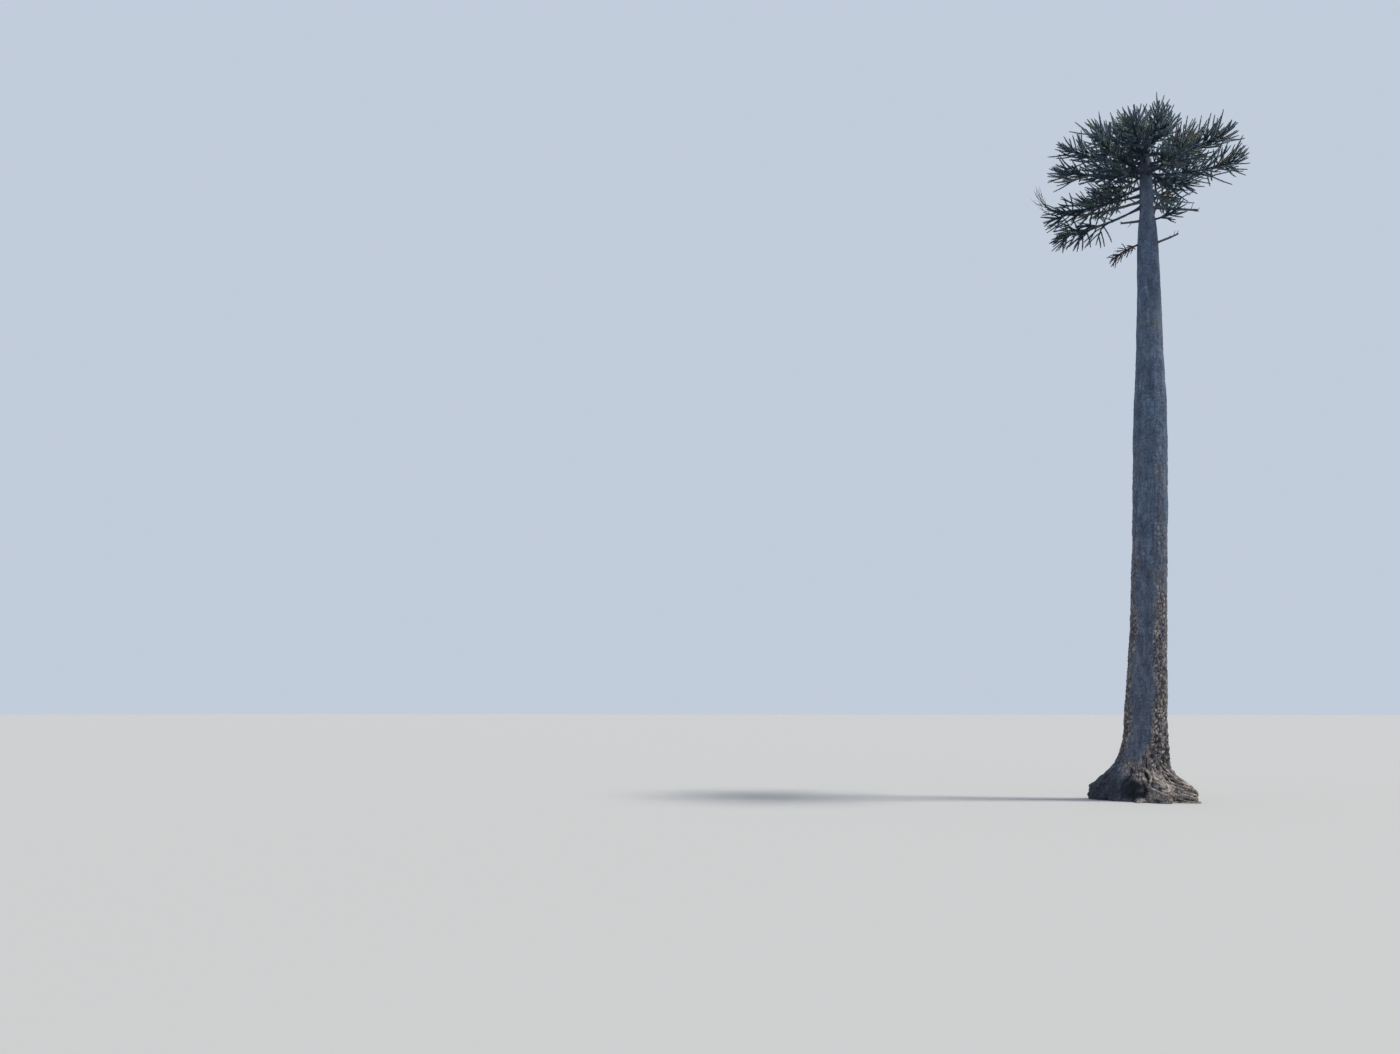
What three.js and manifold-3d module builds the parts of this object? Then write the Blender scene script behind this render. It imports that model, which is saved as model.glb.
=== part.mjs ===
// An old monkey puzzle tree: a clear, leaning trunk with a root flare, under a small umbrella crown.
// Millimetres, +Z up. The origin is the middle of the flat cut at ground level. The front faces -Y, and
// +X is to the right as seen from there.
import * as THREE from "three";
import Module from "manifold-3d";

const wasm = await Module();
wasm.setup();

// Trunk: how it leans and how thick it is
const TRUNK_TOP = 16250;
const LEAN_SLOPE = 0.105; // sideways travel per unit of height at the foot
const LEAN_EASE = 2.2e-6; // how fast that slope straightens
const TRUNK_SIDES = 34;
const GIRTH = [
  // height, radius
  [0, 490],
  [1500, 482],
  [2300, 460],
  [4300, 408],
  [8500, 392],
  [9500, 370],
  [11000, 300],
  [13400, 252],
  [13900, 218],
  [14350, 168],
  [15500, 150],
  [16000, 95],
  [TRUNK_TOP, 45],
];
const FLARE_RINGS = [0, 230, 430, 620, 820, 1080];
const TRUNK_RINGS = [...FLARE_RINGS, ...GIRTH.slice(1).map(([height]) => height)];
// Root flare: buttress roots that spread into the ground
const ROOTS = [
  // bearing in degrees, spread at the ground, height at which half of it is left, sharpness across
  { bearing: 184, spread: 690, height: 660, sharpness: 8 },
  { bearing: 228, spread: 330, height: 520, sharpness: 24 },
  { bearing: 262, spread: 420, height: 480, sharpness: 28 },
  { bearing: 298, spread: 560, height: 460, sharpness: 24 },
  { bearing: 338, spread: 720, height: 500, sharpness: 18 },
  { bearing: 18, spread: 520, height: 480, sharpness: 24 },
  { bearing: 56, spread: 430, height: 500, sharpness: 26 },
  { bearing: 98, spread: 580, height: 500, sharpness: 22 },
  { bearing: 140, spread: 470, height: 540, sharpness: 20 },
];
const FLARE_POWER = 4.2; // how suddenly a root meets the trunk

// Limbs
const GAP = 0.4; // between pieces that meet
const GRID = 1 / 32; // step that the corners of fused pieces are rounded to
const BOUGH_SIDES = 4;
const BOUGH_STEPS = 3;
const PATH_STEPS = 12;
const CURL = 1.4; // above 1, a limb keeps its bend for its outer part
const LIMB_RADIUS = 44; // at the trunk, for a bough of REFERENCE_REACH
const REFERENCE_REACH = 2000;
const STEM_RADIUS = 24; // where a bough passes into its mass
const STEM_TIP_RADIUS = 16;
const STEM_STEPS = 4;
const BARE_SHARE = 0.26; // share of a bough that carries no foliage
const LEAST_BARE = 120; // and the least length of it outside the trunk
const WHORL_SEED = 1000;
const LIMB_SEED = 7919;

// Sprays of leafy shoots: each is a toothed blade, one tooth for each rope-like shoot
const SPRAY_WIDTH = 62; // of the middle shoot
const SPRAY_THICKNESS = 48;
const ROOT_THICKNESS = 8; // of its edge inside the stem
const SPRAY_LENGTH = 440; // at the inner end of a mass
const SPRAY_LENGTH_TIP = 560; // at its outer end
const LENGTH_JITTER = 0.15;
const SPRAY_STEPS = 4;
const BLUNT_SHARE = 0.88; // share of the length at which the middle shoot begins to narrow
const BLUNT_NARROWING = 0.85;
const TOOTH_PLACE = 0.3; // share along the middle shoot
const TOOTH_LENGTH = 0.6; // as a share of the middle shoot
const TOOTH_ANGLE = 40; // in degrees
const TIP_WIDTH = 24;
const SPRAY_ROLLS = [-12, 192, 82]; // where sprays stand round the stem, one after the other, in degrees
const ROLL_JITTER = 26;
const SPREAD = 62; // between stem and spray at the inner end, in degrees
const SPREAD_TIP = 40;
const SPREAD_JITTER = 9;
const TWIST_JITTER = 40; // of a blade about its own length
const TRIES = 6;
const SHRINK = 0.4; // how much of its length a spray may lose to fit
const SPACE_GAP = 104; // between the spaces of two masses
const TRUNK_CLEARANCE = 66;

// Whorls of living boughs, from the top down. Angles are in degrees: turn is the first bough's bearing,
// rise and tipRise are the slopes at the trunk and at the tip, lift is how hard the sprays turn up.
const WHORLS = [
  { name: "crown_top", height: 16040, count: 3, turn: 84, reach: 640, rise: 24, tipRise: 48, lift: 0.5, sprays: 8 },
  { name: "upper", height: 15900, count: 4, turn: 20, reach: 1200, rise: 18, tipRise: 36, lift: 0.5, sprays: 9 },
  { name: "high", height: 15640, count: 5, turn: 334, reach: 1740, rise: 12, tipRise: 30, lift: 0.5, sprays: 11 },
  { name: "middle", height: 15360, count: 6, turn: 0, reach: 1920, rise: 4, tipRise: 24, lift: 0.45, sprays: 11 },
  { name: "wide", height: 15230, count: 2, turn: 34, reach: 1180, rise: -2, tipRise: 12, lift: 0.25, sprays: 10 },
];
const TURN_JITTER = 6;
const HEIGHT_JITTER = 80;
const REACH_JITTER = 0.05;
const FRONT_BEARING = 310;
const FRONT_DROP = 21; // how much flatter the boughs at the front right grow, in degrees

// Boughs below the whorls, each as it stands
const LOW_BOUGHS = [
  { name: "low_left", height: 14800, bearing: 180, reach: 2040, rise: -4, tipRise: -8, lift: 0.05, sprays: 11 },
  { name: "hanging_left", height: 14540, bearing: 189, reach: 2040, rise: -26, tipRise: -6, lift: -0.4, sprays: 11 },
  { name: "rear", height: 15060, bearing: 146, reach: 1640, rise: -3, tipRise: 8, lift: 0.25, sprays: 10 },
  { name: "low_back", height: 15060, bearing: 66, reach: 1300, rise: -1, tipRise: 6, lift: 0.1, sprays: 9 },
  { name: "low_right", height: 14080, bearing: 350, reach: 640, rise: 4, tipRise: 10, lift: 0.15, sprays: 5 },
];

// The leading shoot carries on from the tip of the trunk
const LEADER = { name: "leader", reach: 330, lift: 0.5, sprays: 6, size: 0.75, spraysFrom: 0.2 };

// A small bough whose foliage has withered
const WITHERED = {
  name: "withered_left",
  height: 13560,
  bearing: 198,
  reach: 900,
  rise: -18,
  tipRise: -38,
  lift: -0.4,
  sprays: 7,
  radius: 26,
  size: 0.55,
};

// Dead wood
const DEAD_BOUGH = {
  name: "dead_left",
  height: 14660,
  bearing: 165,
  reach: 2900,
  rise: -2,
  tipRise: 62,
  curl: 2.4,
  radius: 34,
};
const DEAD_SHARE = 0.8; // of its length, before it breaks up into twigs
const DEAD_RADIUS = 16; // there
const DEAD_TIP_RADIUS = 7;
const DEAD_TWIGS = 6;
const DEAD_TWIG_LENGTH = 360;
const DEAD_TWIG_RADII = [8, 7, 4];
const DEAD_TWIG_LIFT = 0.45;
const DEAD_TWIG_SPREAD = new THREE.Vector3(0.25, 0.55, 0.25);
const DEAD_TWIG_LEAN = new THREE.Vector3(-0.05, 0, 0.1);
const STUBS = [
  { name: "stub_right_long", height: 14460, bearing: 3, reach: 1180, rise: -13, tipRise: -13, radius: 34, tip: 26 },
  { name: "stub_right_low", height: 13450, bearing: 346, reach: 720, rise: 5, tipRise: 14, radius: 32, tip: 20 },
  { name: "stub_left", height: 14110, bearing: 183, reach: 600, rise: 2, tipRise: 2, radius: 32, tip: 25 },
];

const LOOKS = {
  bark: { color: 0x6d625c, roughness: 0.95, metalness: 0 },
  deadwood: { color: 0x857a72, roughness: 0.9, metalness: 0 },
  foliage: { color: 0x34482f, roughness: 0.6, metalness: 0 },
  withered: { color: 0x6b4334, roughness: 0.85, metalness: 0 },
};

const { degToRad: radians, lerp, clamp } = THREE.MathUtils;
const up = new THREE.Vector3(0, 0, 1);

// A repeatable stream of numbers from 0 to 1, and one of them brought to either side of 0
function seeded(seed) {
  let state = seed >>> 0;
  return () => {
    state = (Math.imul(state, 1664525) + 1013904223) >>> 0;
    return state / 4294967296;
  };
}

function either(random, size) {
  return size * (2 * random() - 1);
}

// The trunk's middle and its radius at a height, without roots and then with them
function trunkMiddle(z) {
  return new THREE.Vector3(LEAN_SLOPE * z - LEAN_EASE * z * z, 0, z);
}

function trunkRadius(z) {
  const above = GIRTH.findIndex(([height]) => height >= z);
  const [lowZ, lowRadius] = GIRTH[Math.max(above - 1, 0)];
  const [highZ, highRadius] = GIRTH[Math.max(above, 1)];
  return lerp(lowRadius, highRadius, (z - lowZ) / (highZ - lowZ));
}

function flaredRadius(z, bearing) {
  return ROOTS.reduce((radius, root) => {
    const facing = Math.max(0, Math.cos(bearing - radians(root.bearing)));
    return radius + (root.spread * facing ** root.sharpness) / (1 + (z / root.height) ** FLARE_POWER);
  }, trunkRadius(z));
}

// The trunk, grown by a margin all round
function trunkSolid(margin) {
  const rings = TRUNK_RINGS.map((z) =>
    Array.from({ length: TRUNK_SIDES }, (_, j) => {
      const bearing = (2 * Math.PI * j) / TRUNK_SIDES;
      const radius = flaredRadius(z, bearing) + margin;
      const point = trunkMiddle(z);
      point.x += radius * Math.cos(bearing);
      point.y += radius * Math.sin(bearing);
      if (z === 0) point.z -= margin;
      if (z === TRUNK_TOP) point.z += margin;
      return point;
    }),
  );
  return solidOfRings(rings);
}

// A closed solid from rings of points along a limb, with flat ends
function solidOfRings(rings) {
  const sides = rings[0].length;
  const last = (rings.length - 1) * sides;
  const triangles = [];
  for (let ring = 0; ring < last; ring += sides) {
    for (let j = 0; j < sides; j++) {
      const [a, b] = [ring + j, ring + ((j + 1) % sides)];
      triangles.push(a, b, b + sides, a, b + sides, a + sides);
    }
  }
  for (let j = 1; j + 1 < sides; j++) triangles.push(0, j + 1, j, last, last + j, last + j + 1);
  return solidOf(rings.flat(), triangles);
}

function solidOf(points, triangles) {
  const mesh = new wasm.Mesh({
    numProp: 3,
    vertProperties: new Float32Array(points.flatMap((point) => point.toArray())),
    triVerts: new Uint32Array(triangles),
  });
  return new wasm.Manifold(mesh);
}

// The same solid with its corners on a fine grid, where corners that fall together become one
function settled(solid) {
  const { vertProperties, triVerts } = solid.getMesh();
  const known = new Map();
  const points = [];
  const corners = Array.from({ length: vertProperties.length / 3 }, (_, i) => {
    const point = new THREE.Vector3().fromArray(vertProperties, 3 * i);
    point.divideScalar(GRID).round().multiplyScalar(GRID);
    const key = point.toArray().join();
    if (!known.has(key)) known.set(key, points.push(point) - 1);
    return known.get(key);
  });
  const triangles = [];
  for (let i = 0; i < triVerts.length; i += 3) {
    const [a, b, c] = [...triVerts.subarray(i, i + 3)].map((corner) => corners[corner]);
    if (a !== b && b !== c && c !== a) triangles.push(a, b, c);
  }
  return solidOf(points, triangles);
}

// Solids fused into one, without any loose scrap
function onePiece(solids) {
  const bodies = settled(wasm.Manifold.union(solids)).decompose();
  return bodies.sort((a, b) => b.volume() - a.volume())[0];
}

// The path of a limb from the middle of the trunk to its tip
function limbPath({ height, bearing, reach, rise, tipRise, curl = CURL }) {
  const path = [trunkMiddle(height)];
  const [x, y] = [Math.cos(radians(bearing)), Math.sin(radians(bearing))];
  for (let i = 0; i < PATH_STEPS; i++) {
    const slope = radians(lerp(rise, tipRise, ((i + 0.5) / PATH_STEPS) ** curl));
    const step = new THREE.Vector3(x * Math.cos(slope), y * Math.cos(slope), Math.sin(slope));
    path.push(path[i].clone().addScaledVector(step, reach / PATH_STEPS));
  }
  return path;
}

function leaderPath() {
  return Array.from({ length: PATH_STEPS + 1 }, (_, i) =>
    trunkMiddle(TRUNK_TOP).addScaledVector(up, (LEADER.reach * i) / PATH_STEPS),
  );
}

function alongPath(path, share) {
  const place = clamp(share, 0, 1) * (path.length - 1);
  const i = Math.min(Math.floor(place), path.length - 2);
  return path[i].clone().lerp(path[i + 1], place - i);
}

// A point of a path, the direction there, a level one to the side and the one square to both
function frameAt(path, share) {
  const half = 0.5 / (path.length - 1);
  const tangent = alongPath(path, share + half);
  tangent.sub(alongPath(path, share - half)).normalize();
  const side = new THREE.Vector3().crossVectors(up, tangent);
  if (side.length() < 0.05) side.set(1, 0, 0);
  side.normalize();
  return { point: alongPath(path, share), tangent, side, over: new THREE.Vector3().crossVectors(tangent, side) };
}

function ringAt({ point, side, over }, radius, sides) {
  return Array.from({ length: sides }, (_, j) => {
    const angle = (2 * Math.PI * j) / sides;
    const corner = point.clone().addScaledVector(side, radius * Math.cos(angle));
    return corner.addScaledVector(over, radius * Math.sin(angle));
  });
}

// The stretch of a limb between two shares of its path, tapering
function tapered(path, [from, to], [rootRadius, tipRadius], steps, sides) {
  const rings = Array.from({ length: steps + 1 }, (_, i) =>
    ringAt(frameAt(path, lerp(from, to, i / steps)), lerp(rootRadius, tipRadius, i / steps), sides),
  );
  return solidOfRings(rings);
}

// The boughs of a whorl, each a little out of its place
function whorlBoughs(whorl, index) {
  const random = seeded(WHORL_SEED + index);
  return Array.from({ length: whorl.count }, (_, i) => {
    const bearing = whorl.turn + (360 * i) / whorl.count + either(random, TURN_JITTER);
    const drop = FRONT_DROP * Math.max(0, Math.cos(radians(bearing - FRONT_BEARING)));
    return {
      ...whorl,
      name: `${whorl.name}_${i + 1}`,
      bearing,
      height: whorl.height + either(random, HEIGHT_JITTER),
      reach: whorl.reach * (1 + either(random, REACH_JITTER)),
      rise: whorl.rise - drop,
      tipRise: whorl.tipRise - drop,
    };
  });
}

// Every limb with its kind, its path and the share of it that is bare
function allLimbs() {
  const living = [...WHORLS.flatMap(whorlBoughs), ...LOW_BOUGHS].map((bough) => ({
    ...bough,
    kind: "living",
    size: 1,
    radius: LIMB_RADIUS * Math.sqrt(bough.reach / REFERENCE_REACH),
  }));
  const stubs = STUBS.map((stub) => ({ ...stub, kind: "stub" }));
  const grown = [...living, { ...WITHERED, kind: "withered" }, { ...DEAD_BOUGH, kind: "dead" }, ...stubs];
  const boughs = grown.map((limb) => ({
    ...limb,
    path: limbPath(limb),
    bare: Math.max(BARE_SHARE, (trunkRadius(limb.height) + LEAST_BARE) / limb.reach),
  }));
  return [...boughs, { ...LEADER, kind: "leader", path: leaderPath(), bare: 0 }];
}

const limbs = allLimbs();

// A mass keeps to the space that is nearer to its own limb than to any other, and clear of the trunk
function inOwnSpace(point, limb) {
  if (point.z < TRUNK_TOP) {
    const middle = trunkMiddle(point.z);
    const away = Math.hypot(point.x - middle.x, point.y - middle.y);
    if (away < trunkRadius(point.z) + TRUNK_CLEARANCE) return false;
  }
  const own = distanceToPath(point, limb.path) + SPACE_GAP;
  return limbs.every((other) => other === limb || distanceToPath(point, other.path) > own);
}

function distanceToPath(point, path) {
  const closest = new THREE.Vector3();
  const distances = path.slice(1).map((end, i) => {
    new THREE.Line3(path[i], end).closestPointToPoint(point, true, closest);
    return closest.distanceTo(point);
  });
  return Math.min(...distances);
}

// Sprays leave a stem to both sides and upwards by turns, and turn up or hang down as they grow
function spraysOf(limb, seed) {
  const random = seeded(seed);
  const sprays = Array.from({ length: limb.sprays }, (_, i) => {
    const share = (i + 0.5) / limb.sprays;
    const start = frameAt(limb.path, lerp(limb.spraysFrom ?? limb.bare, 1, share));
    const length = limb.size * lerp(SPRAY_LENGTH, SPRAY_LENGTH_TIP, share);
    const roll = SPRAY_ROLLS[i % SPRAY_ROLLS.length];
    return placed(start, roll, lerp(SPREAD, SPREAD_TIP, share), length, limb, random);
  });
  sprays.push(placed(frameAt(limb.path, 1), 0, 0, limb.size * SPRAY_LENGTH, limb, random));
  return sprays.filter((spray) => spray);
}

// The first of a few sprays, each turned and sized a little differently, that keeps to its mass's space
function placed({ point, tangent, side, over }, roll, spread, length, limb, random) {
  for (let i = 0; i < TRIES; i++) {
    const angle = radians(spread + either(random, SPREAD_JITTER));
    const turn = radians(roll + either(random, ROLL_JITTER));
    const away = side.clone().multiplyScalar(Math.cos(turn)).addScaledVector(over, Math.sin(turn));
    const heading = tangent.clone().multiplyScalar(Math.cos(angle)).addScaledVector(away, Math.sin(angle));
    const size = length * (1 + either(random, LENGTH_JITTER)) * (1 - (SHRINK * i) / TRIES);
    const path = grownPath(point, heading, size, limb);
    if (!path) continue;
    const across = new THREE.Vector3().crossVectors(over, heading).normalize();
    across.applyAxisAngle(heading, radians(either(random, TWIST_JITTER)));
    return { path, across, length: size };
  }
  return null;
}

function grownPath(start, heading, length, limb) {
  const path = [start];
  const direction = heading.clone();
  for (let i = 0; i < SPRAY_STEPS; i++) {
    direction.addScaledVector(up, limb.lift / SPRAY_STEPS).normalize();
    path.push(path[i].clone().addScaledVector(direction, length / SPRAY_STEPS));
    if (!inOwnSpace(path[i + 1], limb)) return null;
  }
  return path;
}

// A blade bends with its middle shoot: the point at a length along it, a width across and a height over it
function onBlade({ path, across, length }, [along, width, height]) {
  const { point, tangent } = frameAt(path, along / length);
  const normal = new THREE.Vector3().crossVectors(tangent, across).normalize();
  return point.addScaledVector(across, width).addScaledVector(normal, height);
}

// One tooth on one side: its near corner, the two corners of its tip and its far corner
function toothCorners(length, hand) {
  const [x, y] = [Math.cos(radians(TOOTH_ANGLE)), Math.sin(radians(TOOTH_ANGLE))];
  const [base, half, thick] = [TOOTH_PLACE * length, SPRAY_WIDTH / 2, SPRAY_THICKNESS / 2];
  const [along, width] = [base + TOOTH_LENGTH * length * x, half + TOOTH_LENGTH * length * y];
  return [
    [base, hand * half, thick],
    [along, hand * width, 0],
    [along + TIP_WIDTH * y, hand * (width - TIP_WIDTH * x), 0],
    [base + SPRAY_WIDTH / y, hand * half, thick],
  ];
}

// One side of a spray's outline from root to tip, with its tooth where that fits in the mass's space
function halfOutline(spray, hand, limb) {
  const tooth = toothCorners(spray.length, hand);
  const fits = tooth.slice(1, 3).every((corner) => inOwnSpace(onBlade(spray, corner), limb));
  const [half, thick] = [SPRAY_WIDTH / 2, SPRAY_THICKNESS / 2];
  return [
    ...(fits ? tooth : []),
    [BLUNT_SHARE * spray.length, hand * BLUNT_NARROWING * half, BLUNT_NARROWING * thick],
    [spray.length, (hand * TIP_WIDTH) / 2, 0],
  ];
}

// A closed blade. Each corner of its outline holds half the thickness there, and 0 makes a sharp edge.
function spraySolid(spray, limb) {
  const root = [0, 0, ROOT_THICKNESS / 2];
  const outline = [root, ...halfOutline(spray, -1, limb), ...halfOutline(spray, 1, limb).reverse()];
  const points = outline.map((corner) => onBlade(spray, corner));
  const below = outline.map(([along, width, height], i) => {
    if (height === 0) return i;
    return points.push(onBlade(spray, [along, width, -height])) - 1;
  });
  const flat = outline.map(([along, width]) => new THREE.Vector2(along, width));
  const triangles = [];
  for (const [a, b, c] of THREE.ShapeUtils.triangulateShape(flat, [])) {
    triangles.push([a, b, c], [below[c], below[b], below[a]]);
  }
  outline.forEach((_, i) => {
    const next = (i + 1) % outline.length;
    triangles.push([i, below[i], below[next]], [i, below[next], next]);
  });
  const whole = triangles.filter(([a, b, c]) => a !== b && b !== c && c !== a);
  return solidOf(points, whole.flat());
}

// The foliage at the end of a limb: a stem and its sprays
function massSolid(limb, seed) {
  const start = limb.bare + GAP / limb.reach;
  const stem = tapered(limb.path, [start, 1], [STEM_RADIUS, STEM_TIP_RADIUS], STEM_STEPS, 3);
  return onePiece([stem, ...spraysOf(limb, seed).map((spray) => spraySolid(spray, limb))]);
}

// Bare three-sided twigs that fork off the end of a dead limb
function deadTwigs(limb, seed) {
  const random = seeded(seed);
  const start = DEAD_SHARE + GAP / limb.reach;
  const stem = tapered(limb.path, [start, 1], [DEAD_RADIUS, DEAD_TIP_RADIUS], 2, 4);
  const twigs = Array.from({ length: DEAD_TWIGS }, (_, i) => {
    const { point, tangent } = frameAt(limb.path, lerp(DEAD_SHARE, 1, 0.25 + (0.75 * i) / DEAD_TWIGS));
    const spread = new THREE.Vector3(either(random, 1), either(random, 1), either(random, 1));
    const heading = tangent.add(spread.multiply(DEAD_TWIG_SPREAD)).add(DEAD_TWIG_LEAN).normalize();
    const middle = point.clone().addScaledVector(heading, DEAD_TWIG_LENGTH / 2);
    heading.addScaledVector(up, DEAD_TWIG_LIFT).normalize();
    const path = [point, middle, middle.clone().addScaledVector(heading, DEAD_TWIG_LENGTH / 2)];
    return solidOfRings(DEAD_TWIG_RADII.map((radius, ring) => ringAt(frameAt(path, ring / 2), radius, 3)));
  });
  return onePiece([stem, ...twigs]);
}

// The woody part of a limb, cut clear of the trunk
function limbSolid(limb, trunkRoom) {
  const ends = { stub: [1, limb.tip], dead: [DEAD_SHARE, DEAD_RADIUS] };
  const [end, endRadius] = ends[limb.kind] ?? [limb.bare, STEM_RADIUS];
  return tapered(limb.path, [0, end], [limb.radius, endRadius], BOUGH_STEPS, BOUGH_SIDES).subtract(trunkRoom);
}

const tree = new THREE.Group();

function add(name, solid, look) {
  const { vertProperties, triVerts } = solid.getMesh();
  const geometry = new THREE.BufferGeometry();
  geometry.setAttribute("position", new THREE.BufferAttribute(vertProperties, 3));
  geometry.setIndex(new THREE.BufferAttribute(triVerts, 1));
  geometry.computeVertexNormals();
  const mesh = new THREE.Mesh(geometry, new THREE.MeshStandardMaterial(LOOKS[look]));
  mesh.name = name;
  tree.add(mesh);
}

function addLimb(limb, seed, trunkRoom) {
  const { name, kind } = limb;
  if (kind === "stub") add(name, limbSolid(limb, trunkRoom), "deadwood");
  if (kind === "dead") {
    add(`bough_${name}`, limbSolid(limb, trunkRoom), "deadwood");
    add(`twigs_${name}`, deadTwigs(limb, seed), "deadwood");
  }
  if (kind === "living" || kind === "withered") add(`bough_${name}`, limbSolid(limb, trunkRoom), "bark");
  if (kind === "living" || kind === "leader") add(`foliage_${name}`, massSolid(limb, seed), "foliage");
  if (kind === "withered") add(`foliage_${name}`, massSolid(limb, seed), "withered");
}

add("trunk", trunkSolid(0), "bark");
const trunkRoom = trunkSolid(GAP);
limbs.forEach((limb, i) => addLimb(limb, LIMB_SEED * (i + 1), trunkRoom));

export default tree;
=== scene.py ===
import math
from math import cos, radians, sin

import bpy
import numpy as np
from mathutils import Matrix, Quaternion, Vector, noise


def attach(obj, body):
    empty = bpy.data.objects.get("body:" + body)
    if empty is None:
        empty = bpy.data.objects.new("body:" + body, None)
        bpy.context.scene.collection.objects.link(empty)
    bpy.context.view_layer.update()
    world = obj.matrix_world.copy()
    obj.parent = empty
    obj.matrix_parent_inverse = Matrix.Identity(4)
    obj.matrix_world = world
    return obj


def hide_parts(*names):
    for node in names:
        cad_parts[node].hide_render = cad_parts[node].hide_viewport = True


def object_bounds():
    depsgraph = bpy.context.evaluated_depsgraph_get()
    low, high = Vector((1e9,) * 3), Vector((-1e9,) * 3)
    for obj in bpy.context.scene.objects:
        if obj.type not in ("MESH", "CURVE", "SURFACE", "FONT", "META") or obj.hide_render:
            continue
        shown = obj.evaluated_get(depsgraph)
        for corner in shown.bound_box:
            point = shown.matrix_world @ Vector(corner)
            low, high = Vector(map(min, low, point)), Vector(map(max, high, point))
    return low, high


# An old monkey puzzle tree. Metres, +Z up, front towards -Y.
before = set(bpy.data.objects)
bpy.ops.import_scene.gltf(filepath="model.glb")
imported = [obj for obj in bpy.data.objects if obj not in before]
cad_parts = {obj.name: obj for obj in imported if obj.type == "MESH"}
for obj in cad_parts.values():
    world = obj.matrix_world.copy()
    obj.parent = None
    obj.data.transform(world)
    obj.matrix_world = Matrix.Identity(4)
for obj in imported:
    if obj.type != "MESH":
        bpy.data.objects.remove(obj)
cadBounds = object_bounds()
up = Vector((0, 0, 1))


# Random numbers and blends
def seeded(seed):
    state = seed % 2**32

    def draw():
        nonlocal state
        state = (state * 1664525 + 1013904223) % 2**32
        return state / 2**32

    return draw


def either(draw, size):
    return size * (2 * draw() - 1)


def mix(a, b, t):
    return a + (b - a) * t


def smooth(low, high, x):
    t = min(max((x - low) / (high - low), 0), 1)
    return t * t * (3 - 2 * t)


# a way turned towards another that is square to it
def swung(way, other, angle):
    return way * cos(angle) + other * sin(angle)


def levelWay(bearing):
    return Vector((cos(bearing), sin(bearing), 0))


# Trunk: the same lean, girth and root flare as the frame
trunk = {
    "top": 16.25,
    "leanSlope": 0.105,
    "leanEase": 0.0022,
    # height, radius
    "girth": [
        (0, 0.49), (1.5, 0.482), (2.3, 0.46), (4.3, 0.408), (8.5, 0.392), (9.5, 0.37), (11, 0.3),
        (13.4, 0.252), (13.9, 0.218), (14.35, 0.168), (15.5, 0.15), (16, 0.095), (16.25, 0.045),
    ],
    # bearing, spread at the ground, height, sharpness
    "buttresses": [
        (184, 0.69, 0.66, 8), (228, 0.33, 0.52, 24), (262, 0.42, 0.48, 28),
        (298, 0.56, 0.46, 24), (338, 0.72, 0.5, 18), (18, 0.52, 0.48, 24),
        (56, 0.43, 0.5, 26), (98, 0.58, 0.5, 22), (140, 0.47, 0.54, 20),
    ],
    "flarePower": 4.2,
}


def trunkMiddle(z):
    return Vector((trunk["leanSlope"] * z - trunk["leanEase"] * z * z, 0, z))


def trunkRadius(z):
    heights, radii = zip(*trunk["girth"])
    return float(np.interp(z, heights, radii))


def flaredRadius(z, bearing):
    radius = trunkRadius(z)
    for turn, spread, height, sharpness in trunk["buttresses"]:
        facing = max(0, cos(bearing - radians(turn)))
        radius += spread * facing**sharpness / (1 + (z / height) ** trunk["flarePower"])
    return radius


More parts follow.
